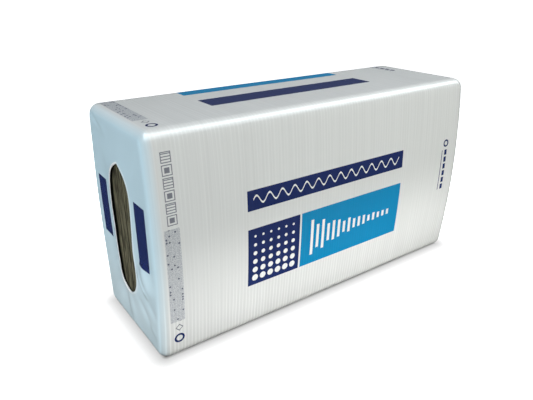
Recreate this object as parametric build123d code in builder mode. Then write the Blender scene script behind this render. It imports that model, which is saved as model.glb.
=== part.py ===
"""A pack of acoustic insulation slabs in a shrink-film sleeve, standing on the slabs' long edges.

X runs along the slabs, Y through the stack and Z up. The origin is the middle of the underside.
All lengths are in millimetres.
"""

import os

from build123d import *

# Slabs, as they stand in the pack: the thickness is at mid-height, where the film squeezes them least
slab_count = 9
slab_length = 1100.0
slab_width = 600.0
slab_thickness = 43.5
seam_gap = 0.3

# Film sleeve
film_thickness = 0.5
wrap_clearance = 0.3
end_clearance = 4.0
face_bow = 19.5
long_edge_radius = 32.0
end_edge_tightening = 4.0

# Mouth that the film leaves open at each end, with a rolled rim
mouth_width = 127.0
mouth_height = 364.0
mouth_end_radius = 50.0
mouth_shift = -5.5
rim_radius = 1.2
rim_sides = 6

# How far a cut runs past what it cuts
overrun = 10.0

# Sizes that follow
stack_depth = slab_count * slab_thickness + (slab_count - 1) * seam_gap
skin = film_thickness + wrap_clearance
pack_depth = stack_depth + 2 * skin
pack_height = slab_width + 2 * skin
pack_length = slab_length + 2 * (film_thickness + end_clearance)
end_edge_radius = long_edge_radius - end_edge_tightening


def bowed_line(edge_place, middle_place):
    """A line up the pack's whole height in the section: an arc where it bows, or else straight."""
    foot = (edge_place, 0)
    head = (edge_place, pack_height)
    if edge_place == middle_place:
        return Line(foot, head)
    return ThreePointArc(foot, (middle_place, pack_height / 2), head)


def rounded_body(inset, length, end_radius):
    """The pack's outer form, drawn in by an inset: flat top and bottom, bowed front and back, round edges."""
    with BuildPart() as body:
        with BuildSketch(Plane.YZ) as section:
            with BuildLine():
                front = bowed_line(face_bow - pack_depth / 2, -pack_depth / 2)
                back = bowed_line(pack_depth / 2 - face_bow, pack_depth / 2)
                Line(front @ 0, back @ 0)
                Line(front @ 1, back @ 1)
            make_face()
            fillet(section.vertices(), radius=long_edge_radius)
            if inset > 0:
                offset(amount=-inset, mode=Mode.REPLACE)
        extrude(amount=length / 2, both=True)
        end_faces = body.faces().filter_by(Axis.X)
        fillet(end_faces.edges(), radius=end_radius)
    return body.part


def mouth_line():
    """The mouth's outline about its own middle: two flat side arcs and two round ends, all tangent."""
    end_height = mouth_height / 2 - mouth_end_radius
    half_width = mouth_width / 2
    spread = half_width - mouth_end_radius
    side_radius = (end_height**2 + half_width**2 - mouth_end_radius**2) / (2 * spread)
    reach = side_radius - mouth_end_radius
    turn_across = mouth_end_radius * (side_radius - half_width) / reach
    turn_up = end_height + mouth_end_radius * end_height / reach
    ThreePointArc((turn_across, -turn_up), (half_width, 0), (turn_across, turn_up))
    ThreePointArc((turn_across, turn_up), (0, mouth_height / 2), (-turn_across, turn_up))
    ThreePointArc((-turn_across, turn_up), (-half_width, 0), (-turn_across, -turn_up))
    ThreePointArc((-turn_across, -turn_up), (0, -mouth_height / 2), (turn_across, -turn_up))


outer_form = rounded_body(0, pack_length, end_edge_radius)
inner_form = rounded_body(film_thickness, pack_length - 2 * film_thickness, end_edge_radius - film_thickness)
stack_form = rounded_body(skin, slab_length, end_edge_radius - film_thickness - end_clearance)

os.makedirs("parts", exist_ok=True)

# Film sleeve: a thin skin over the whole pack, cut open at both ends and rolled at the cut
mouth_plane = Plane(origin=(0, mouth_shift, pack_height / 2), x_dir=(0, 1, 0), z_dir=(1, 0, 0))
rim_place = (pack_length - film_thickness) / 2

with BuildPart() as film_sleeve:
    add(outer_form)
    add(inner_form, mode=Mode.SUBTRACT)
    with BuildSketch(mouth_plane):
        with BuildLine():
            mouth_line()
        make_face()
    extrude(amount=pack_length / 2 + overrun, both=True, mode=Mode.SUBTRACT)
    for place in (-rim_place, rim_place):
        with BuildLine(mouth_plane.offset(place)) as rim:
            mouth_line()
        with BuildSketch(Plane(origin=rim.line @ 0, x_dir=(1, 0, 0), z_dir=rim.line % 0)):
            RegularPolygon(rim_radius, rim_sides)
        sweep(path=rim.wires()[0])

film_sleeve.part.label = "film_sleeve"
export_step(film_sleeve.part, "parts/film_sleeve.step")

# Slabs, front to back: equal shares of the stack at every height, so that the seams bow with the faces
seam_pitch = slab_thickness + seam_gap
edge_share = 1 - 2 * face_bow / stack_depth

for number in range(1, slab_count + 1):
    near_middle = (number - 1) * seam_pitch - stack_depth / 2
    far_middle = near_middle + slab_thickness
    near_edge = near_middle * edge_share
    far_edge = far_middle * edge_share
    if number == 1:
        near_edge = near_middle = -pack_depth / 2 - overrun
    if number == slab_count:
        far_edge = far_middle = pack_depth / 2 + overrun
    with BuildPart() as slab:
        with BuildSketch(Plane.YZ):
            with BuildLine():
                near = bowed_line(near_edge, near_middle)
                far = bowed_line(far_edge, far_middle)
                Line(near @ 0, far @ 0)
                Line(near @ 1, far @ 1)
            make_face()
        extrude(amount=slab_length / 2 + overrun, both=True)
        add(stack_form, mode=Mode.INTERSECT)
    slab.part.label = f"slab_{number}"
    export_step(slab.part, f"parts/slab_{number}.step")
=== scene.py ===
"""A pack of acoustic insulation slabs in a printed shrink-film sleeve, dressed for a studio picture.

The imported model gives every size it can. All lengths are in metres, X along the slabs, Y from front to
back and Z up, with the origin at the middle of the underside.
"""

import math
import random

import bpy
import numpy as np
from mathutils import Matrix, Vector, noise


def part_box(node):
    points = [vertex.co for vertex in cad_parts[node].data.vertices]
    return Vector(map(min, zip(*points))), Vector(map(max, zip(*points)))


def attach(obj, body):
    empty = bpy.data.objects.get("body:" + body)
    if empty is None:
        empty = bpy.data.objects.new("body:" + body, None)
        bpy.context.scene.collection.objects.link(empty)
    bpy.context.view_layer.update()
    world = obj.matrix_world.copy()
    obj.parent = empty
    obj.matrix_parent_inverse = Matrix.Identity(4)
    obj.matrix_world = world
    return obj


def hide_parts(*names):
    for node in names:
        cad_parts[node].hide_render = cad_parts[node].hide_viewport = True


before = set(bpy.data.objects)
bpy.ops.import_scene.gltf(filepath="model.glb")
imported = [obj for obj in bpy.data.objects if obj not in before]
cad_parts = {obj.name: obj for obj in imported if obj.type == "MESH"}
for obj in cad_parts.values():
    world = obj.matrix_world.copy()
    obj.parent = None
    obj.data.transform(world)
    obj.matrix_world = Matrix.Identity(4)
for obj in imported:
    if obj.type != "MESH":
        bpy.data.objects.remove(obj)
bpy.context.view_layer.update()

# Film sleeve, as it is built
FILM_LOW, FILM_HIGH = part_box("film_sleeve")
SLAB_LOW, SLAB_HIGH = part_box("slab_5")
FILM_THICKNESS = 0.0005
END_CLEARANCE = 0.004
LENGTH = SLAB_HIGH[0] - SLAB_LOW[0] + 2 * (END_CLEARANCE + FILM_THICKNESS)
DEPTH = FILM_HIGH[1] - FILM_LOW[1]
HEIGHT = FILM_HIGH[2]
MIDDLE = HEIGHT / 2
FACE_BOW = 0.0195
LONG_EDGE = 0.032
END_EDGE = 0.028
RIM_RADIUS = 0.0012

# Mouth in each end: full in the middle, with a narrow head, a round foot and both sides drawn in
# The powers of head and foot are those of a rounded oval, across the mouth and up it
# The front side is drawn in at one level, the back at each pull's, as (how far, level, reach)
MOUTH_WIDTH = 0.1262
HEAD_RISE = 0.1887
FOOT_DROP = 0.1755
MOUTH_LEVEL = MIDDLE
MOUTH_SHIFT = -0.0099
HEAD_POWERS = (1.15, 6.2)
FOOT_POWERS = (1.9, 5.2)
FOOT_LEAN = 0.0112
DRAWN_IN = 0.0145
DRAWN_LEVEL = 0.2716
DRAWN_REACH = 0.0730
BACK_PULLS = ((0.0095, 0.180, 0.044), (0.0036, 0.275, 0.080))
MOUTH_STEPS = 200

# Loose lip round the mouth: it stands off more towards the back, and its low back edge rolls in
LIP_LIFT = 0.0030
LIP_CURVE = 5
LIP_LOOSE = (0.7, 0.3)
LIP_WAVES = (0.05, 0.07)
BACK_LIFT = 12.0
ROLL_DROP = 0.0017
ROLL_START = 0.965
ROLL_LEVEL = 0.170
ROLL_FADE = (0.02, 0.045)

# Slabs
SLAB_COUNT = 9
SLABS_IN_SIGHT = (3, 4, 5, 6, 7)
SEAM_GAP = 0.0003
SLAB_END_EDGE = 0.0235
STACK_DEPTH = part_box("slab_9")[1][1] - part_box("slab_1")[0][1]
SLAB_PITCH = (STACK_DEPTH + SEAM_GAP) / SLAB_COUNT

# How finely the film is divided
FLAT_STEPS = 14
CORNER_STEPS = 10
SIDE_STEPS = 26
SIDE_CROWDING = 1.25
LENGTH_STEPS = 300
EDGE_STEPS = 9
COLLAR_STEPS = 34
INNER_PITCH = 8
RIM_TURNS = (150, 120, 90, 60, 30)

# Pale edge of the lip, the film's own white edge with a painted highlight that is whiter at the back: the
# rings it takes up, its share in front, and where it widens low at the back
LIP_RINGS = 2
FRONT_LIP = 0.35
BACK_FADE = 0.024
LOW_LIP = 0.062
LOW_LIP_FADE = 0.04

# Camera that took the picture
FRAME_WIDTH = 533
FOCAL_PIXELS = 516.1
SENSOR = 0.036
CAMERA_PLACE = (-0.9457, -1.1726, 0.9029)
CAMERA_AZIMUTH = -35.67
CAMERA_ELEVATION = 23.46
CAMERA_ROLL = 0.14


def section_quarter():
    """A quarter of the section, from mid-underside to mid-front: its points and their outward normals."""
    radius = (MIDDLE**2 + FACE_BOW**2) / (2 * FACE_BOW)
    arc_y = radius - DEPTH / 2
    corner_y = arc_y - math.sqrt((radius - LONG_EDGE) ** 2 - (MIDDLE - LONG_EDGE) ** 2)
    lean = math.atan2(MIDDLE - LONG_EDGE, arc_y - corner_y)
    points = []
    normals = []
    for k in range(FLAT_STEPS):
        points.append((corner_y * k / FLAT_STEPS, 0))
        normals.append((0, -1))
    for k in range(CORNER_STEPS):
        turn = (math.pi / 2 - lean) * k / CORNER_STEPS
        way = (-math.sin(turn), -math.cos(turn))
        points.append((corner_y + LONG_EDGE * way[0], LONG_EDGE + LONG_EDGE * way[1]))
        normals.append(way)
    for k in range(SIDE_STEPS + 1):
        turn = lean * ((k / SIDE_STEPS) ** SIDE_CROWDING - 1)
        way = (-math.cos(turn), math.sin(turn))
        points.append((arc_y + radius * way[0], MIDDLE + radius * way[1]))
        normals.append(way)
    return np.array(points), np.array(normals)


def all_round(quarter):
    """A closed ring from its first quarter, mirrored about its upright and its level middle line."""
    upper = quarter[::-1] * (1, -1) + (0, 2 * quarter[-1, 1])
    front = np.vstack((quarter[:-1], upper[:-1]))
    back = np.vstack((quarter[1:], upper[1:]))[::-1] * (-1, 1)
    return np.vstack((front, back))


def mouth_edge(turns):
    """Points of the mouth's edge at these turns, from its foot by its front side and head to its back."""
    front = np.sin(turns)
    up = -np.cos(turns)
    across_power, up_power = (np.where(up > 0, *pair) for pair in zip(HEAD_POWERS, FOOT_POWERS))
    y = MOUTH_SHIFT - MOUTH_WIDTH / 2 * np.sign(front) * abs(front) ** (2 / across_power)
    z = MOUTH_LEVEL + np.where(up > 0, HEAD_RISE, -FOOT_DROP) * abs(up) ** (2 / up_power)
    drawn = DRAWN_IN * np.maximum(front, 0) * np.exp(-(((z - DRAWN_LEVEL) / DRAWN_REACH) ** 2))
    for pull, level, reach in BACK_PULLS:
        drawn -= pull * np.maximum(-front, 0) * np.exp(-(((z - level) / reach) ** 2))
    low = np.maximum(MOUTH_LEVEL - z, 0) / FOOT_DROP
    return np.column_stack((y + drawn + FOOT_LEAN * low**2, z))


def lengths_along(points):
    """How far along a line of points each of them lies."""
    return np.concatenate(((0,), np.cumsum(np.linalg.norm(np.diff(points, axis=0), axis=1))))


quarter, quarter_normals = section_quarter()
SECTION = all_round(quarter)
SECTION_NORMALS = all_round(quarter_normals)
RING = len(SECTION)
quarter_gone = lengths_along(quarter)
HALF_FRONT = quarter_gone[-1]
GIRTH = 4 * HALF_FRONT
RISE = lengths_along(np.vstack((SECTION, SECTION[:1]))) - HALF_FRONT

# The mouth gets a point for each point of the section, at the same share of each quarter
edge_points = mouth_edge(np.linspace(0, math.tau, 4 * MOUTH_STEPS + 1))
edge_gone = lengths_along(edge_points)
edge_quarters = np.interp(edge_gone, edge_gone[::MOUTH_STEPS], range(5))
ring_quarters = (RISE[:-1] + HALF_FRONT) / HALF_FRONT
MOUTH = np.column_stack([np.interp(ring_quarters, edge_quarters, edge_points[:, k]) for k in (0, 1)])
mouth_along = np.roll(MOUTH, -1, axis=0) - np.roll(MOUTH, 1, axis=0)
MOUTH_INWARD = np.column_stack((mouth_along[:, 1], -mouth_along[:, 0]))
MOUTH_INWARD /= np.linalg.norm(MOUTH_INWARD, axis=1)[:, None]
BACK_EDGE = MOUTH[RING // 2 :][::-1]


def mesh_piece(name, points, faces, material):
    """A new smooth mesh object that rides on the pack."""
    mesh = bpy.data.meshes.new(name)
    mesh.from_pydata([tuple(p) for p in points], [], faces)
    mesh.polygons.foreach_set("use_smooth", [True] * len(mesh.polygons))
    mesh.materials.append(material)
    piece = bpy.data.objects.new(name, mesh)
    bpy.context.scene.collection.objects.link(piece)
    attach(piece, "root")
    return piece


def rough(x, y, z, seed):
    """Smooth noise from about -1 to 1 at a place measured in wavelengths."""
    return noise.noise((x, y, z + 17.3 * seed))


# Soft folds in the collar: foot and head as (y, z), half width and height, for the end at -X
FOLD_OVERRUN = 0.25
FOLDS = (
    ((-0.108, 0.248), (-0.142, 0.190), 0.027, 0.0098),
    ((-0.079, 0.217), (-0.119, 0.172), 0.0135, 0.0062),
    ((-0.060, 0.128), (-0.112, 0.088), 0.016, -0.0022),
    ((-0.110, 0.150), (-0.165, 0.120), 0.016, -0.0016),
    ((-0.127, 0.080), (-0.161, 0.070), 0.010, 0.0014),
    ((0.009, 0.106), (0.000, 0.046), 0.013, 0.0024),
    ((0.040, 0.120), (0.080, 0.050), 0.016, -0.0008),
    ((0.150, 0.578), (0.085, 0.556), 0.007, -0.0024),
    ((0.120, 0.566), (0.055, 0.550), 0.012, 0.0012),
)


def fold_height(y, z):
    """How far the folds lift the collar at a place on the end."""
    height = 0
    for foot, head, width, lift in FOLDS:
        run = (head[0] - foot[0], head[1] - foot[1])
        long = math.hypot(*run)
        along = ((y - foot[0]) * run[0] + (z - foot[1]) * run[1]) / long**2
        across = abs((y - foot[0]) * run[1] - (z - foot[1]) * run[0]) / long
        if -FOLD_OVERRUN < along < 1 + FOLD_OVERRUN:
            taper = math.cos(math.pi * (along - 0.5) / (1 + 2 * FOLD_OVERRUN))
            height += lift * taper * math.exp(-((across / width) ** 2))
    return height


# Ribs and slack waves of the film: heights, and wavelengths along and across
RIB_HEIGHT = 0.00009
FINE_RIBS = (0.0105, 0.50)
BROAD_RIBS = (0.019, 0.6)
BROAD_SHARE = 0.7
WAVE_HEIGHT = 0.0008
SLACK_WAVES = (0.23, 0.21)
COLLAR_WAVE = 0.0010
COLLAR_WAVES = (0.13, 0.16)


def film_lift(x, y, z, rise, on_end, to_lip):
    """How far the film stands off its plain form: ribs and slack waves, the collar's folds and its lip."""
    ribs = rough(x / FINE_RIBS[0], rise / FINE_RIBS[1], 0, 1)
    ribs += BROAD_SHARE * rough(x / BROAD_RIBS[0], rise / BROAD_RIBS[1], 0, 2)
    slack = 0.5 + 0.5 * rough(x / SLACK_WAVES[0], rise / SLACK_WAVES[1], 0, 3)
    pressed = min(1, z / LONG_EDGE)
    lift = (1 - on_end) * pressed * (RIB_HEIGHT * ribs + WAVE_HEIGHT * slack)
    if on_end > 0:
        side = -1 if x > 0 else 1
        lift += on_end * fold_height(side * y, z)
        lift += on_end * COLLAR_WAVE * rough(side, y / COLLAR_WAVES[0], z / COLLAR_WAVES[1], 4)
        behind = max(0, y - MOUTH_SHIFT)
        below = max(0, ROLL_LEVEL - z)
        uneven = rough(side, y / LIP_WAVES[0], z / LIP_WAVES[1], 5)
        loose = LIP_LOOSE[0] + LIP_LOOSE[1] * uneven + BACK_LIFT * behind
        lift += LIP_LIFT * to_lip**LIP_CURVE * loose
        low_back = min(1, behind / ROLL_FADE[0]) * min(1, below / ROLL_FADE[1])
        lift -= ROLL_DROP * low_back * max(0, to_lip - ROLL_START) / (1 - ROLL_START)
    return lift


def film_rings():
    """The film's rings from mouth to mouth: (points, ways to lift, share on the end, share to the lip)."""
    half = LENGTH / 2
    ends = []
    for side in (-1, 1):
        outward = np.tile((side, 0, 0), (RING, 1))
        edge = SECTION - END_EDGE * SECTION_NORMALS
        rings = []
        for turn in RIM_TURNS:
            angle = math.radians(turn)
            x = side * (half - FILM_THICKNESS / 2 + RIM_RADIUS * math.cos(angle))
            ring = MOUTH + MOUTH_INWARD * RIM_RADIUS * math.sin(angle)
            rings.append((np.column_stack((np.full(RING, x), ring)), outward, 1, 1))
        for k in range(COLLAR_STEPS):
            share = 1 - k / COLLAR_STEPS
            ring = edge * (1 - share) + MOUTH * share
            if k == 0:
                ring = ring - MOUTH_INWARD * RIM_RADIUS
            rings.append((np.column_stack((np.full(RING, side * half), ring)), outward, 1, share))
        for k in range(EDGE_STEPS):
            angle = math.pi / 2 * k / EDGE_STEPS
            x = side * (half - END_EDGE + END_EDGE * math.cos(angle))
            ring = edge + END_EDGE * math.sin(angle) * SECTION_NORMALS
            along = np.full(RING, side * math.cos(angle))
            way = np.column_stack((along, SECTION_NORMALS * math.sin(angle)))
            rings.append((np.column_stack((np.full(RING, x), ring)), way, math.cos(angle) ** 2, 0))
        ends.append(rings)
    sleeve = []
    way = np.column_stack((np.zeros(RING), SECTION_NORMALS))
    for k in range(LENGTH_STEPS + 1):
        x = (half - END_EDGE) * (2 * k / LENGTH_STEPS - 1)
        sleeve.append((np.column_stack((np.full(RING, x), SECTION)), way, 0, 0))
    return ends[0] + sleeve + ends[1][::-1]


def film_sleeve(material):
    """The whole film as one thin closed skin: an outer and an inner face that meet in the rolled rims."""
    outer = []
    ways = []
    for points, way, on_end, to_lip in film_rings():
        lifts = []
        for (x, y, z), rise in zip(points, RISE):
            lifts.append(film_lift(x, y, z, rise, on_end, to_lip))
        outer.append(points + way * np.array(lifts)[:, None])
        ways.append(way)
    last = len(outer) - 1
    end = len(RIM_TURNS) + COLLAR_STEPS + EDGE_STEPS
    picks = list(range(len(RIM_TURNS) + 2, end, 2)) + list(range(end, last - end, INNER_PITCH))
    picks += list(range(last - end, last - len(RIM_TURNS) - 1, 2))
    rings = outer + [outer[k] - FILM_THICKNESS * ways[k] for k in reversed(picks)]
    # Painted highlight: the lip's white is full at the back, a share of it in front, and it widens low at
    # the back
    at_back = np.clip((MOUTH[:, 0] - MOUTH_SHIFT) / BACK_FADE + 0.5, 0, 1)
    below = MOUTH_LEVEL - FOOT_DROP + LOW_LIP - MOUTH[:, 1]
    at_foot = at_back * np.clip(below / LOW_LIP_FADE, 0, 1)
    white = np.zeros((len(rings), RING))
    for step in range(len(RIM_TURNS) + LIP_RINGS):
        white[[step, last - step]] = FRONT_LIP + (1 - FRONT_LIP) * at_back
    step = len(RIM_TURNS) + LIP_RINGS
    white[[step, last - step]] = at_foot
    faces = []
    for r in range(len(rings)):
        here = r * RING
        there = (r + 1) % len(rings) * RING
        for u in range(RING):
            on = (u + 1) % RING
            faces.append((here + u, there + u, there + on, here + on))
    piece = mesh_piece("film_wrap", np.vstack(rings), faces, material)
    whites = piece.data.attributes.new("lip_white_and_highlight", "FLOAT", "POINT")
    whites.data.foreach_set("value", white.astype(np.float32).ravel())
    rises = piece.data.attributes.new("rise", "FLOAT", "POINT")
    rises.data.foreach_set("value", np.tile(RISE[:-1], len(rings)).astype(np.float32))
    flat_map(piece, rings, last)
    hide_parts("film_sleeve")


# Flat layout of the film for baking, in metres: the unrolled sleeve, then the ends and the inside beside it
MAP_SIDE = 1.90
MAP_ASIDE = 1.17
MAP_END_STEP = 0.62
MAP_INSIDE = (1.26, 0.35, 0.60)


def flat_map(piece, rings, last):
    """Unroll the film so that no part of it lies on another."""
    around = RISE + HALF_FRONT
    rims = len(RIM_TURNS)
    sleeve_first = rims + COLLAR_STEPS
    sleeve_last = last - sleeve_first
    gone = lengths_along(np.array([ring[RING // 4] for ring in rings[sleeve_first : sleeve_last + 1]]))
    inside_count = len(rings) - (last - rims) + rims
    corners = []
    for r in range(len(rings)):
        pair = []
        for step in (r, r + 1):
            if sleeve_first <= r < sleeve_last:
                flat = np.column_stack((np.full(RING + 1, gone[step - sleeve_first]), around))
            elif rims <= r < last - rims:
                closed = rings[step][list(range(RING)) + [0], 1:]
                flat = closed + (MAP_ASIDE + DEPTH / 2, MAP_END_STEP * (r > sleeve_last - 1))
            else:
                share = (step - (last - rims) + len(rings) * (r < rims)) / inside_count
                across = np.full(RING + 1, MAP_ASIDE + MAP_INSIDE[1] * share)
                flat = np.column_stack((across, MAP_INSIDE[0] + MAP_INSIDE[2] * around / GIRTH))
            pair.append(flat / MAP_SIDE)
        near, far = pair
        corners.append(np.stack((near[:-1], far[:-1], far[1:], near[1:]), axis=1))
    layer = piece.data.uv_layers.new(name="OFBake")
    layer.data.foreach_set("uv", np.concatenate(corners).astype(np.float32).ravel())


class Field:
    """A number that varies over a surface, held as a node socket, with ordinary sums written on it."""

    def __init__(self, tree, socket):
        self.tree = tree
        self.socket = socket

    def sum(self, operation, *others):
        node = self.tree.nodes.new("ShaderNodeMath")
        node.operation = operation
        for place, value in zip(node.inputs, (self, *others)):
            if isinstance(value, Field):
                self.tree.links.new(value.socket, place)
            else:
                place.default_value = value
        return Field(self.tree, node.outputs[0])

    def __add__(self, other):
        return self.sum("ADD", other)

    def __sub__(self, other):
        return self.sum("SUBTRACT", other)

    def __mul__(self, other):
        return self.sum("MULTIPLY", other)

    def __truediv__(self, other):
        return self.sum("DIVIDE", other)

    def __lt__(self, other):
        return self.sum("LESS_THAN", other)

    def __gt__(self, other):
        return self.sum("GREATER_THAN", other)

    def __abs__(self):
        return self.sum("ABSOLUTE")

    def either(self, other):
        return self.sum("MAXIMUM", other)

    def at_most(self, other):
        return self.sum("MINIMUM", other)

    def clamped(self):
        return self.at_most(1.0).either(0.0)

    def without(self, other):
        return self * (other * -1 + 1)

    def between(self, low, high):
        return abs(self - (low + high) / 2) < (high - low) / 2

    def apart(self, pitch):
        """Which repeat of this pitch the place is in, and how far it is into it."""
        count = (self / pitch).sum("FLOOR")
        return count, self - count * pitch


def box(across, up, low, high):
    """1 inside a rectangle and 0 outside it."""
    return across.between(low[0], high[0]) * up.between(low[1], high[1])


def ring(across, up, middle, inner, outer):
    """1 inside a flat ring and 0 outside it."""
    a = across - middle[0]
    b = up - middle[1]
    reach = (a * a + b * b).sum("SQRT")
    return reach.between(inner, outer)


def new_material(name):
    """A material with only a Principled shader, as (material, tree, shader)."""
    material = bpy.data.materials.new(name)
    material.use_nodes = True
    tree = material.node_tree
    return material, tree, tree.nodes["Principled BSDF"]


def place_fields(tree, kind="Object"):
    """The place on the object, or the way that the air is looked at, as three fields."""
    where = tree.nodes.new("ShaderNodeTexCoord")
    parts = tree.nodes.new("ShaderNodeSeparateXYZ")
    tree.links.new(where.outputs[kind], parts.inputs[0])
    return [Field(tree, socket) for socket in parts.outputs]


def grain(tree, across, up, depth, detail=2.0):
    """Smooth noise from 0 to 1 at a place measured in wavelengths."""
    join = tree.nodes.new("ShaderNodeCombineXYZ")
    for socket, field in zip(join.inputs, (across, up, depth)):
        if isinstance(field, Field):
            tree.links.new(field.socket, socket)
        else:
            socket.default_value = field
    node = tree.nodes.new("ShaderNodeTexNoise")
    node.inputs["Scale"].default_value = 1
    node.inputs["Detail"].default_value = detail
    tree.links.new(join.outputs[0], node.inputs["Vector"])
    return Field(tree, node.outputs["Fac"])


def tint(tree, under, over, share):
    """A colour over another where the share is 1. A colour is a socket or three numbers."""
    node = tree.nodes.new("ShaderNodeMix")
    node.data_type = "RGBA"
    tree.links.new(share.socket, node.inputs["Factor"])
    for socket, colour in ((node.inputs[6], under), (node.inputs[7], over)):
        if isinstance(colour, tuple):
            socket.default_value = (*colour, 1)
        else:
            tree.links.new(colour, socket)
    return node.outputs[2]


# Colours, as linear light
FILM_WHITE = (0.70, 0.71, 0.705)
END_BLUE = (0.52, 0.69, 0.775)
# Paler blue low on the ends, painted bounce light from the floor
END_PAINTED_BOUNCE = (0.585, 0.715, 0.775)
CYAN = (0.004, 0.232, 0.475)
NAVY = (0.015, 0.027, 0.118)
INK_GREY = (0.115, 0.12, 0.165)
STRIP_GREY = (0.40, 0.42, 0.46)
INK_WHITE = (0.80, 0.81, 0.80)
# White of the lip's edge, with its painted highlight
LIP_WHITE_AND_HIGHLIGHT = (0.92, 0.94, 0.95)

# Printed sheet: x along the pack, rise up from mid-front round the girth
PRINT_END = 0.542
PRINT_SOFT = 0.022
PRINT_PITCH = 0.58
PRINT_START = -0.26
STRIP = (-0.529, -0.490)
STRIP_RISE = (-0.183, 0.074)
SIGN_LEFT = -0.519
SIGN_SIZE = 0.0255
SIGN_PITCH = 0.0295
SIGN_RISE = 0.083
SIGN_COUNT = 6
SIGN_LINE = 0.0022
DOT_PITCH = 0.0078
DOT_SHARE = 0.17
DOT_RADIUS = 0.0024
SPECK = 0.0027
SPECK_CONTRAST = 6
SPECK_SHARE = (0.75, 0.33)
SIGN_SHARE = 0.85
DIAMOND_RISE = -0.203
DIAMOND_REACH = (0.0075, 0.0110)
ROUND_RISE = -0.237
ROUND_REACH = (0.0085, 0.0143)

# Large print on the long faces: panels as their low and high corners, along and up, and the marks on them
NAVY_PANEL = ((-0.303, -0.159), (-0.133, 0.011))
CYAN_PANEL = ((-0.127, -0.159), (0.269, 0.011))
WAVE_PANEL = ((-0.303, 0.062), (0.269, 0.117))
BAR_REACH = (-0.092, 0.236)
BAR_PITCH = 0.0205
BAR_WIDTH = 0.0095
BAR_LEVEL = -0.074
BAR_FADE = 0.16
BAR_SWING = (1.9, 0.9)
BAR_TALL = 0.058
BAR_LEAST = 0.004
SPOT_FIELD = ((-0.293, -0.143), (-0.149, 0.001))
SPOT_PITCH = 0.025
SPOT_RADIUS = 0.0095
SPOT_SHRINK = 0.0012
WAVE_REACH = (-0.285, 0.251)
WAVE_STEP = 0.0065
WAVE_SWING = 0.011
WAVE_LEVEL = 0.0895
WAVE_LINE = 0.0026
TOP_MIDDLE = GIRTH / 4
TOP_BAR = ((-0.306, TOP_MIDDLE - 0.044), (0.260, TOP_MIDDLE + 0.032))
BACK_BAR = ((-0.308, TOP_MIDDLE + 0.105), (0.258, TOP_MIDDLE + 0.215))

# Small upright mark near the far end of the sleeve
DISC_PLACE = (0.478, 0.102)
DISC_REACH = (0.007, 0.0125)
MARK_RISE = (-0.058, 0.080)
DASH_PITCH = 0.024
DASH_LENGTH = 0.018
DASH_ACROSS = (0.474, 0.486)
LINE_ACROSS = (0.461, 0.464)

# Fine ribs that the drawn film takes on, with a painted sheen on them that is strongest low on the long
# faces
RIB_PITCH = 0.01025
RIB_HALF = 0.0024
RIB_SWAY = 0.008
RIB_START = -0.06
RIB_FULL = -0.22
EDGE_RISE = 0.285
EDGE_REACH = 0.06
SWAY_WAVES = (0.06, 0.35)
CREST_WAVES = (0.05, 0.25)
CREST_GAIN = 1.6

# How light the film is: plain, in its streaks, and with painted sheen on its ribs low down, by the long
# edges and elsewhere
PLAIN_SHADE = 0.91
STREAK_SHADE = 0.15
STREAK_WAVES = (0.0064, 0.60)
LOW_RIB_SHEEN = 0.21
EDGE_RIB_SHEEN = 0.10
OTHER_RIB_SHEEN = 0.05

# The ends grow paler downwards from a level, painted light bounced up from the floor, and the film's
# roughness varies a little all over
PAINTED_BOUNCE_LEVEL = 0.32
PAINTED_BOUNCE_REACH = 0.22
GLOSS_WAVES = (0.12, 0.15)
ROUGHNESS = 0.18
ROUGHNESS_SWING = 0.08


def edge_strip(x, local):
    """Marks along the sleeve's edge: a fine dotted strip, then a column of small framed squares."""
    strip = box(x, local, (STRIP[0], STRIP_RISE[0]), (STRIP[1], STRIP_RISE[1]))
    across = x - (SIGN_LEFT + SIGN_SIZE / 2)
    count, into = (local - SIGN_RISE).apart(SIGN_PITCH)
    up = into - SIGN_SIZE / 2
    half = SIGN_SIZE / 2
    rows = count.between(-0.5, SIGN_COUNT - 0.5)
    frame_out = (abs(across) < half) * (abs(up) < half)
    frame_in = (abs(across) < half - SIGN_LINE) * (abs(up) < half - SIGN_LINE)
    odd = count.sum("MODULO", 2.0)
    _, stripe = (up + half).apart(3 * SIGN_LINE)
    stripes = stripe < SIGN_LINE
    patch = (abs(across) < half * 0.5) * (abs(up) < half * 0.5)
    motif = stripes * odd + patch * (odd * -1 + 1)
    signs = rows * (frame_out.without(frame_in)).either(motif * frame_in)
    diamond = (abs(across) + abs(local - DIAMOND_RISE)).between(*DIAMOND_REACH)
    mark = ring(across, local, (0, ROUND_RISE), *ROUND_REACH)
    return strip, signs.either(diamond), mark


def scattered_dots(tree, x, rise):
    """Small dots on a square grid, of which only a few places are taken."""
    column, into = (x - STRIP[0]).apart(DOT_PITCH)
    row, up = rise.apart(DOT_PITCH)
    place = tree.nodes.new("ShaderNodeCombineXYZ")
    tree.links.new(column.socket, place.inputs[0])
    tree.links.new(row.socket, place.inputs[1])
    dice = tree.nodes.new("ShaderNodeTexWhiteNoise")
    dice.noise_dimensions = "2D"
    tree.links.new(place.outputs[0], dice.inputs["Vector"])
    taken = Field(tree, dice.outputs["Value"]) < DOT_SHARE
    aside = into - DOT_PITCH / 2
    above = up - DOT_PITCH / 2
    return taken * ((aside * aside + above * above).sum("SQRT") < DOT_RADIUS)


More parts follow.
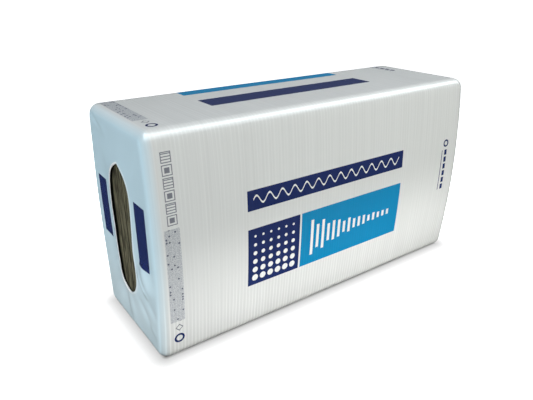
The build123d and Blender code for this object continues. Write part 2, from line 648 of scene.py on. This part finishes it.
def main_print(along, up):
    """The large print on the long faces: (cyan, navy, white) shares."""
    navy_panel = box(along, up, *NAVY_PANEL)
    cyan_panel = box(along, up, *CYAN_PANEL)
    wave_panel = box(along, up, *WAVE_PANEL)
    count, into = (along - BAR_REACH[0]).apart(BAR_PITCH)
    fade = (count * -BAR_FADE).sum("EXPONENT")
    swing = abs((count * BAR_SWING[0] + BAR_SWING[1]).sum("SINE")) * 0.5 + 0.5
    tall = fade * swing * BAR_TALL + BAR_LEAST
    bars = (into < BAR_WIDTH) * (abs(up - BAR_LEVEL) < tall) * along.between(*BAR_REACH)
    spots_along, spots_up = SPOT_FIELD
    row, row_into = (up - spots_up[0]).apart(SPOT_PITCH)
    _, column_into = (along - spots_along[0]).apart(SPOT_PITCH)
    small = row * -SPOT_SHRINK + SPOT_RADIUS
    aside = column_into - SPOT_PITCH / 2
    above = row_into - SPOT_PITCH / 2
    spots = (aside * aside + above * above).sum("SQRT") < small
    spots = spots * along.between(*spots_along) * up.between(*spots_up)
    wave = (along / WAVE_STEP).sum("SINE") * WAVE_SWING
    line = (abs(up - WAVE_LEVEL - wave) < WAVE_LINE) * along.between(*WAVE_REACH)
    white = (bars * cyan_panel).either(spots * navy_panel).either(line * wave_panel)
    return cyan_panel, navy_panel.either(wave_panel), white


def side_mark(x, local):
    """A small ring over a dashed line and a thin one."""
    disc = ring(x, local, DISC_PLACE, *DISC_REACH)
    _, into = (local - MARK_RISE[0]).apart(DASH_PITCH)
    dashes = (into < DASH_LENGTH) * x.between(*DASH_ACROSS) * local.between(*MARK_RISE)
    thin = x.between(*LINE_ACROSS) * local.between(*MARK_RISE)
    return disc.either(dashes).either(thin)


END_MARKS = ((-0.153, -0.092), (0.085, 0.144))
END_MARK_LEVEL = (0.2505, 0.418)
END_FACE = 0.008


def end_marks(x, y, z):
    """Two plain upright blocks on each end, one on each side of the mouth."""
    side = x.sum("SIGN") * -1
    blocks = None
    for low, high in END_MARKS:
        block = (y * side).between(low, high)
        blocks = block if blocks is None else blocks.either(block)
    return blocks * z.between(*END_MARK_LEVEL) * (abs(x) > LENGTH / 2 - END_FACE)


def fine_ribs(tree, x, rise):
    """Narrow upright ribs at an even pitch, swaying a little, from 0 between them to 1 on their crests."""
    sway = grain(tree, x / SWAY_WAVES[0], rise / SWAY_WAVES[1], 9.0)
    _, into = (x + sway * RIB_SWAY).apart(RIB_PITCH)
    crest = (abs(into - RIB_PITCH / 2) / -RIB_HALF + 1).either(0.0)
    return crest * grain(tree, x / CREST_WAVES[0], rise / CREST_WAVES[1], 7.0) * CREST_GAIN


def film_material():
    """Pearly printed shrink film: pale blue on the ends, off-white with fine ribs round the girth."""
    material, tree, shader = new_material("printed_film")
    x, y, z = place_fields(tree)
    attribute = tree.nodes.new("ShaderNodeAttribute")
    attribute.attribute_name = "rise"
    rise = Field(tree, attribute.outputs["Fac"])
    _, into = (rise - PRINT_START).apart(PRINT_PITCH)
    local = into + PRINT_START
    printed = ((abs(x) * -1 + PRINT_END) / PRINT_SOFT + 0.5).clamped()
    behind = rise > TOP_MIDDLE
    along = x * (behind * -2 + 1)
    up = rise * (behind * -1 + 1) + (rise * -1 + GIRTH / 2) * behind
    cyan, navy, white = main_print(along, up)
    top_bar = box(x, rise, *TOP_BAR)
    back_bar = box(x, rise, *BACK_BAR)
    strip, signs, round_mark = edge_strip(x, local)
    lip = tree.nodes.new("ShaderNodeAttribute")
    lip.attribute_name = "lip_white_and_highlight"
    streaks = grain(tree, x / STREAK_WAVES[0], rise / STREAK_WAVES[1], 0.0, 2.0)
    ribs = fine_ribs(tree, x, rise)
    low = ((up - RIB_START) / (RIB_FULL - RIB_START)).clamped()
    by_edge = (abs(abs(up) - EDGE_RISE) / -EDGE_REACH + 1).either(0.0)
    # Painted sheen: the rib crests are lighter, most low on the long faces and by the long edges
    rib_sheen = (low * LOW_RIB_SHEEN).either(by_edge * EDGE_RIB_SHEEN).either(OTHER_RIB_SHEEN)
    shade = streaks * STREAK_SHADE + PLAIN_SHADE + ribs * rib_sheen
    # Painted bounce light: the ends grow paler downwards
    pale = ((z * -1 + PAINTED_BOUNCE_LEVEL) / PAINTED_BOUNCE_REACH).clamped()
    colour = tint(tree, END_BLUE, END_PAINTED_BOUNCE, pale)
    colour = tint(tree, colour, FILM_WHITE, printed)
    specks = ((grain(tree, x / SPECK, rise / SPECK, 3.0, 1.0) - 0.5) * SPECK_CONTRAST + 0.5).clamped()
    colour = tint(tree, colour, STRIP_GREY, strip * (specks * SPECK_SHARE[0] + SPECK_SHARE[1]))
    colour = tint(tree, colour, INK_GREY, strip * scattered_dots(tree, x, rise))
    colour = tint(tree, colour, INK_GREY, signs * SIGN_SHARE)
    colour = tint(tree, colour, CYAN, cyan.either(back_bar))
    ink = navy.either(top_bar).either(end_marks(x, y, z)).either(side_mark(x, local)).either(round_mark)
    colour = tint(tree, colour, NAVY, ink)
    colour = tint(tree, colour, INK_WHITE, white)
    # The lip's white edge and its painted highlight
    colour = tint(tree, colour, LIP_WHITE_AND_HIGHLIGHT, Field(tree, lip.outputs["Fac"]))
    tone = tree.nodes.new("ShaderNodeMix")
    tone.data_type = "RGBA"
    tone.blend_type = "MULTIPLY"
    tone.inputs["Factor"].default_value = 1
    tree.links.new(colour, tone.inputs[6])
    tree.links.new(shade.socket, tone.inputs[7])
    tree.links.new(tone.outputs[2], shader.inputs["Base Color"])
    dull = grain(tree, x / GLOSS_WAVES[0], rise / GLOSS_WAVES[1], 5.0) * ROUGHNESS_SWING + ROUGHNESS
    tree.links.new(dull.socket, shader.inputs["Roughness"])
    shader.inputs["Specular IOR Level"].default_value = 0.5
    bump = tree.nodes.new("ShaderNodeBump")
    bump.inputs["Strength"].default_value = 0.35
    bump.inputs["Distance"].default_value = 0.0004
    tree.links.new((streaks + ribs * 0.5).socket, bump.inputs["Height"])
    tree.links.new(bump.outputs[0], shader.inputs["Normal"])
    return material


# Wool: colours as linear light, and wavelengths of its layers, hairs and clumps along Y, Z and X
WOOL_DARK = (0.030, 0.027, 0.016)
WOOL_BROWN = (0.132, 0.124, 0.079)
WOOL_PALE = (0.27, 0.245, 0.155)
# Painted shade for the seam faces between slabs and for the wool under the film's back lip
WOOL_PAINTED_SHADE = (0.010, 0.009, 0.006)
WOOL_LAYERS = (0.0045, 0.060, 0.02)
WOOL_HAIRS = (0.0009, 0.018, 0.004)
WOOL_CLUMPS = (0.020, 0.045, 0.03)
DEEP_START = 0.40
DEEP_GAIN = 5.0
BRIGHT_START = 0.50
BRIGHT_GAIN = 3.0
BRIGHT_SHARE = 0.5


def wool_material():
    """Mineral wool cut across its layers: fibres that run up the slab in fine uneven streaks."""
    material, tree, shader = new_material("mineral_wool")
    x, y, z = place_fields(tree)
    looks = []
    for waves, detail in ((WOOL_LAYERS, 3.0), (WOOL_HAIRS, 2.0), (WOOL_CLUMPS, 2.0)):
        looks.append(grain(tree, y / waves[0], z / waves[1], x / waves[2], detail))
    layers, hairs, clumps = looks
    deep = ((layers - DEEP_START) * DEEP_GAIN).clamped()
    colour = tint(tree, WOOL_DARK, WOOL_BROWN, deep)
    bright = ((hairs - BRIGHT_START) * BRIGHT_GAIN).clamped()
    colour = tint(tree, colour, WOOL_PALE, bright * clumps * BRIGHT_SHARE)
    # Painted shade: dark on the seam faces between slabs and under the film's back lip
    attribute = tree.nodes.new("ShaderNodeAttribute")
    attribute.attribute_name = "painted_wool_shade"
    colour = tint(tree, colour, WOOL_PAINTED_SHADE, Field(tree, attribute.outputs["Fac"]))
    tree.links.new(colour, shader.inputs["Base Color"])
    shader.inputs["Roughness"].default_value = 0.95
    shader.inputs["Specular IOR Level"].default_value = 0.15
    bump = tree.nodes.new("ShaderNodeBump")
    bump.inputs["Strength"].default_value = 0.8
    bump.inputs["Distance"].default_value = 0.0010
    tree.links.new((layers * 0.6 + hairs * 0.4).socket, bump.inputs["Height"])
    tree.links.new(bump.outputs[0], shader.inputs["Normal"])
    return material


# Slabs in sight: how finely they are divided and how rough their cut ends are
THICK_STEPS = 30
OPEN_STEPS = 150
SHUT_STEPS = 6
LONG_STEPS = 8
OPEN_LEVELS = (0.10, 0.51)
LAYER_DEPTH = 0.0011
LAYER_WAVES = (0.0040, 0.070)
FINE_LAYER_WAVES = (0.0018, 0.030)
CLUMP_WAVES = (0.016, 0.030)
CLUMP_SHARE = 0.4
SEAM_ROUND = 0.0030

# Shade of the film on the cut ends: where it begins behind the mouth's back edge, and its reach
SHADE_START = 0.002
SHADE_REACH = 0.006

# Loose fibres on the cut ends
FIBRES = 900
FIBRE_SIDES = 3
FIBRE_STEPS = 3
FIBRE_RADIUS = (0.00006, 0.00013)
FIBRE_LENGTH = (0.006, 0.026)
FIBRE_LEAN = 0.25
FIBRE_LIFT = 0.0012
FIBRE_SPRING = (0.2, 1.0)
FIBRE_SUNK = 0.0002
FROM_SEAM = 0.0015
FROM_MOUTH = (0.002, 0.004)


def bowed(y, z, half, middle):
    """A level of the stack at this height, where the bow leaves it, from its place at mid-height."""
    return y * (1 - FACE_BOW / half * ((z - middle) / middle) ** 2)


def slab_relief(y, z, share):
    """How far a cut end stands out: upright layers, and edges rounded over at the seams."""
    layers = rough(y / LAYER_WAVES[0], z / LAYER_WAVES[1], 0, 11)
    layers += 0.5 * rough(y / FINE_LAYER_WAVES[0], z / FINE_LAYER_WAVES[1], 0, 12)
    clumps = rough(y / CLUMP_WAVES[0], z / CLUMP_WAVES[1], 0, 13)
    to_seam = min(share, 1 - share) * SLAB_PITCH
    edge = max(0, 1 - to_seam / SEAM_ROUND)
    relief = (1 - CLUMP_SHARE) * layers + CLUMP_SHARE * clumps
    return LAYER_DEPTH * relief - SEAM_ROUND * edge**2


def under_film(y, z):
    """How deep in the film's shade a place on a cut end lies, behind the mouth's back edge, from 0 to 1."""
    past = y - np.interp(z, BACK_EDGE[:, 1], BACK_EDGE[:, 0])
    return min(1, max(0, (past - SHADE_START) / SHADE_REACH))


def steps(low, high, count):
    """Evenly spaced values that leave out the last."""
    return [low + (high - low) * k / count for k in range(count)]


def wool_slab(number, material):
    """A slab whose cut ends, in sight through the mouths, are modelled fibre layer by layer."""
    node = f"slab_{number}"
    low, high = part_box(node)
    middle = (low[2] + high[2]) / 2
    half = STACK_DEPTH / 2
    near = -half + (number - 1) * SLAB_PITCH
    levels = steps(low[2], OPEN_LEVELS[0], SHUT_STEPS) + steps(*OPEN_LEVELS, OPEN_STEPS)
    levels += steps(OPEN_LEVELS[1], high[2], SHUT_STEPS) + [high[2]]
    shares = steps(0, 1, THICK_STEPS) + [1]
    places = [low[0]] + steps(low[0] + SLAB_END_EDGE, high[0] - SLAB_END_EDGE, LONG_STEPS)
    places += [high[0] - SLAB_END_EDGE, high[0]]
    points = []
    dark = []
    index = {}
    last = (len(places) - 1, len(shares) - 1, len(levels) - 1)

    def corner(i, j, k):
        """The number of this corner of the slab's grid, made where it is first asked for."""
        key = (i, j, k)
        if key in index:
            return index[key]
        x = places[i]
        z = levels[k]
        y = bowed(near + shares[j] * (SLAB_PITCH - SEAM_GAP), z, half, middle - low[2])
        past_x = abs(x) - (high[0] - SLAB_END_EDGE)
        past_z = abs(z - middle) - (middle - low[2] - SLAB_END_EDGE)
        if past_x > 0 and past_z > 0:
            reach = SLAB_END_EDGE / math.hypot(past_x, past_z)
            x = math.copysign(high[0] - SLAB_END_EDGE + past_x * reach, x)
            z = middle + math.copysign(middle - low[2] - SLAB_END_EDGE + past_z * reach, z - middle)
        elif i in (0, last[0]):
            x += math.copysign(slab_relief(y, z + (x > 0), shares[j]), x)
        index[key] = len(points)
        points.append((x, y, z))
        # Painted shade: full on the seam faces between slabs, and under the film's back lip as far as its
        # shade reaches
        dark.append(1.0 if j in (0, last[1]) else under_film(y, z))
        return index[key]

    faces = []

    def add_face(turned, *corners):
        """A face through these corners, or the other way round."""
        face = [corner(*place) for place in corners]
        faces.append(face[::-1] if turned else face)

    for j in range(last[1]):
        for k in range(last[2]):
            for i in (0, last[0]):
                add_face(i == 0, (i, j, k), (i, j + 1, k), (i, j + 1, k + 1), (i, j, k + 1))
    for i in range(last[0]):
        for k in range(last[2]):
            for j in (0, last[1]):
                add_face(j > 0, (i, j, k), (i + 1, j, k), (i + 1, j, k + 1), (i, j, k + 1))
        for j in range(last[1]):
            for k in (0, last[2]):
                add_face(k > 0, (i, j, k), (i, j + 1, k), (i + 1, j + 1, k), (i + 1, j, k))
    dice = random.Random(number)
    for _ in range(FIBRES):
        add_fibre(points, faces, dice, near, half, middle - low[2], (low[0], high[0]))
    piece = mesh_piece(f"wool_{number}", points, faces, material)
    dark += [0.0] * (len(points) - len(dark))
    piece.data.attributes.new("painted_wool_shade", "FLOAT", "POINT").data.foreach_set("value", dark)
    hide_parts(node)


def in_mouth(y, z, margin):
    """Whether a place lies in the oval of the mouth with this much room above and below it."""
    rise = (abs(z - MOUTH_LEVEL) + margin) / FOOT_DROP
    return rise < 1 and abs(y - MOUTH_SHIFT) < MOUTH_WIDTH / 2 * math.sqrt(1 - rise**2) - FROM_MOUTH[0]


def add_fibre(points, faces, dice, near, half, half_height, ends):
    """One loose fibre lying up a cut end, thin and three-sided, its middle sprung clear of the wool."""
    side = dice.choice((0, 1))
    sign = 2 * side - 1
    long = dice.uniform(*FIBRE_LENGTH)
    level = dice.uniform(*OPEN_LEVELS)
    across = bowed(near + dice.uniform(FROM_SEAM, SLAB_PITCH - FROM_SEAM), level, half, half_height)
    if not in_mouth(across, level, long / 2 + FROM_MOUTH[1]):
        return
    lean = dice.gauss(0, FIBRE_LEAN)
    radius = dice.uniform(*FIBRE_RADIUS)
    lift = dice.uniform(*FIBRE_SPRING) * FIBRE_LIFT
    first = len(points)
    for k in range(FIBRE_STEPS + 1):
        gone = k / FIBRE_STEPS - 0.5
        y = across + gone * long * math.sin(lean)
        z = level + gone * long * math.cos(lean)
        x = ends[side] + sign * (lift * math.cos(math.pi * gone) - FIBRE_SUNK)
        for turn in range(FIBRE_SIDES):
            angle = math.tau * turn / FIBRE_SIDES
            points.append((x + radius * math.cos(angle), y + radius * math.sin(angle), z))
    for k in range(FIBRE_STEPS):
        for turn in range(FIBRE_SIDES):
            here = first + FIBRE_SIDES * k + turn
            on = first + FIBRE_SIDES * k + (turn + 1) % FIBRE_SIDES
            faces.append([here, on, on + FIBRE_SIDES, here + FIBRE_SIDES])
    tip = first + FIBRE_SIDES * FIBRE_STEPS
    faces.append(list(range(first, first + FIBRE_SIDES))[::-1])
    faces.append(list(range(tip, tip + FIBRE_SIDES)))


# Studio: the floor's glow rises away from the pack's foot, a painted shadow there
# A lamp has a place, aim, width, height, power and colour
# The cards are seen in the film's gloss alone, and the other lamps aren't seen in it
FLOOR_REACH = 30
FLOOR_DARK = (0.534, 0.1565)
FLOOR_START = 0.50
FLOOR_START_FADE = 0.014
FLOOR_FADE = 0.060
FLOOR_SHADE = (0.03, 0.92)
FLOOR_SHADE_FADE = 0.34
AIR_LOW = 0.03
AIR_HIGH = 0.35
AIR_COLOUR = (0.88, 0.95, 1.0)
LAMPS = (
    ("over", (0.5, -0.12, 1.9), (0.1, -0.05, 0.55), 2.2, 1.2, 19, (0.965, 0.99, 1)),
    ("key", (0.60, -1.9, 0.7), (0.2, -0.18, 0.26), 1.6, 0.9, 12.5, (1, 0.99, 0.89)),
    ("front_low", (0.01, -0.75, 0.36), (0.01, -0.318, 0.0), 1.25, 0.08, 1.34, (1, 0.985, 0.965)),
    ("left", (-2.2, -0.5, 1.5), (-0.5, 0.0, 0.3), 1.2, 1.2, 24.8, (0.96, 0.99, 1)),
    ("left_low", (-1.0, 0.10, 0.07), (-0.55, 0.06, 0.07), 0.5, 0.08, 0.72, (1, 0.98, 0.95)),
    ("back_fill", (0.2, 1.9, 0.6), (0.0, 0.18, 0.3), 1.6, 0.9, 9, (1, 0.99, 0.96)),
    ("edge_card", (0.1, -0.53, 2.0), (0.1, -0.53, 0.0), 5.4, 0.65, 48, (0.90, 0.985, 1)),
    ("wing_card", (0.1, -0.92, 2.1), (0.1, -0.92, 0.0), 5.4, 2.1, 144, (0.88, 0.98, 1)),
    ("corner_card", (-1.15, 0.20, 2.0), (-1.15, 0.20, 0.0), 1.0, 0.8, 18, (0.92, 1, 1)),
    ("back_card", (-0.95, 2.0, 1.1), (-0.54, 0.0, 0.58), 1.0, 0.9, 1.6, (1, 1, 1)),
)
BEAMS = {"front_low": 78}
CARDS = ("edge_card", "wing_card", "corner_card", "back_card")


def seen_white(tree):
    """1 for rays that show the background itself, straight from the camera or through a clear piece."""
    light_path = tree.nodes.new("ShaderNodeLightPath")
    seen = Field(tree, light_path.outputs["Is Camera Ray"])
    return seen.either(Field(tree, light_path.outputs["Is Transmission Ray"]))


def studio_floor():
    """A white floor that keeps the pack's soft shadow, with more shadow painted round its foot in its
    colour and its glow.
    """
    mesh = bpy.data.meshes.new("studio_floor")
    signs = ((-1, -1), (1, -1), (1, 1), (-1, 1))
    mesh.from_pydata([(FLOOR_REACH * a, FLOOR_REACH * b, 0) for a, b in signs], [], [(0, 1, 2, 3)])
    floor = bpy.data.objects.new("studio_floor", mesh)
    bpy.context.scene.collection.objects.link(floor)
    floor.visible_glossy = False
    material, tree, shader = new_material("floor_white")
    shader.inputs["Roughness"].default_value = 0.9
    shader.inputs["Specular IOR Level"].default_value = 0.0
    x, y, _ = place_fields(tree)
    # Painted shadow: the floor's glow and colour are dark at the pack's foot and rise away from it
    past_x = (abs(x) - FLOOR_DARK[0]).either(0.0)
    past_y = (abs(y) - FLOOR_DARK[1]).either(0.0)
    away = (past_x * past_x + past_y * past_y).sum("SQRT")
    start = (away / FLOOR_START_FADE).at_most(1.0) * FLOOR_START
    glow = (away / FLOOR_FADE).at_most(1.0) * (1 - FLOOR_START) + start
    clear = (away / FLOOR_SHADE_FADE).at_most(1.0)
    pale = clear * (FLOOR_SHADE[1] - FLOOR_SHADE[0]) + FLOOR_SHADE[0]
    tree.links.new(pale.socket, shader.inputs["Base Color"])
    shader.inputs["Emission Color"].default_value = (1, 1, 1, 1)
    tree.links.new((seen_white(tree) * glow).socket, shader.inputs["Emission Strength"])
    mesh.materials.append(material)


def studio_air():
    """Air that is white to the camera, and to the pack a soft light that grows upwards."""
    world = bpy.data.worlds.new("studio_air")
    bpy.context.scene.world = world
    world.use_nodes = True
    tree = world.node_tree
    back = tree.nodes["Background"]
    seen = seen_white(tree)
    _, _, up = place_fields(tree, "Generated")
    air = up.either(0.0) * (AIR_HIGH - AIR_LOW) + AIR_LOW
    tree.links.new(tint(tree, AIR_COLOUR, (1.0, 1.0, 1.0), seen), back.inputs["Color"])
    tree.links.new(air.without(seen).either(seen).socket, back.inputs["Strength"])


def studio_lamps():
    """Soft lamps that light the pack, and cards that show in its gloss."""
    for name, place, aim, wide, tall, power, colour in LAMPS:
        light = bpy.data.lights.new(name, "AREA")
        light.shape = "RECTANGLE"
        light.size = wide
        light.size_y = tall
        light.energy = power
        light.color = colour
        light.spread = math.radians(BEAMS.get(name, 180))
        lamp = bpy.data.objects.new(name, light)
        lamp.location = place
        lamp.rotation_euler = (Vector(aim) - Vector(place)).to_track_quat("-Z", "Y").to_euler()
        lamp.visible_camera = False
        lamp.visible_glossy = name in CARDS
        lamp.visible_diffuse = name not in CARDS
        bpy.context.scene.collection.objects.link(lamp)


def camera():
    """The camera where the photographer stood."""
    data = bpy.data.cameras.new("camera")
    data.sensor_width = SENSOR * 1000
    data.lens = FOCAL_PIXELS / FRAME_WIDTH * SENSOR * 1000
    azimuth = math.radians(CAMERA_AZIMUTH)
    elevation = math.radians(CAMERA_ELEVATION)
    level = math.cos(elevation)
    back = Vector((math.sin(azimuth) * level, -math.cos(azimuth) * level, math.sin(elevation)))
    turn = back.to_track_quat("Z", "Y").to_matrix().to_4x4()
    roll = Matrix.Rotation(math.radians(CAMERA_ROLL), 4, "Z")
    eye = bpy.data.objects.new("camera", data)
    eye.matrix_world = Matrix.Translation(CAMERA_PLACE) @ turn @ roll
    bpy.context.scene.collection.objects.link(eye)
    bpy.context.scene.camera = eye


bpy.context.scene.view_settings.view_transform = "Standard"
camera()
studio_floor()
studio_air()
studio_lamps()
film_sleeve(film_material())
wool = wool_material()
for number in range(1, SLAB_COUNT + 1):
    if number in SLABS_IN_SIGHT:
        wool_slab(number, wool)
    else:
        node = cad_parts[f"slab_{number}"]
        node.data.materials.clear()
        node.data.materials.append(wool)
